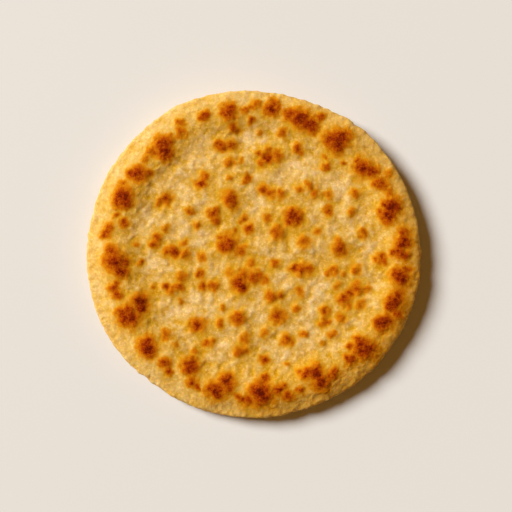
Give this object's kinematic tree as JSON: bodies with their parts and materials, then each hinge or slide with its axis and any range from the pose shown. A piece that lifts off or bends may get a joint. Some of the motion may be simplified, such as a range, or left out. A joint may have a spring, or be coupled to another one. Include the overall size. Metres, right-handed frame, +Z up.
{
  "type": "flatbread",
  "caption": "Round, thick griddle flatbread with a rolled raised rim, a slightly sunken lumpy middle and a flat underside to rest on.",
  "frame": {"origin": "on the flat underside, at the middle of the outline's bounding box", "axes": "+Z up, out of the browned top; +X along the longest way across; +Y square to it"},
  "size_m": [0.2048, 0.1994, 0.0172],
  "materials": {
    "crust": "matte"
  },
  "bodies": {
    "root": {"flatbread": "crust"}
  },
  "joints": []
}
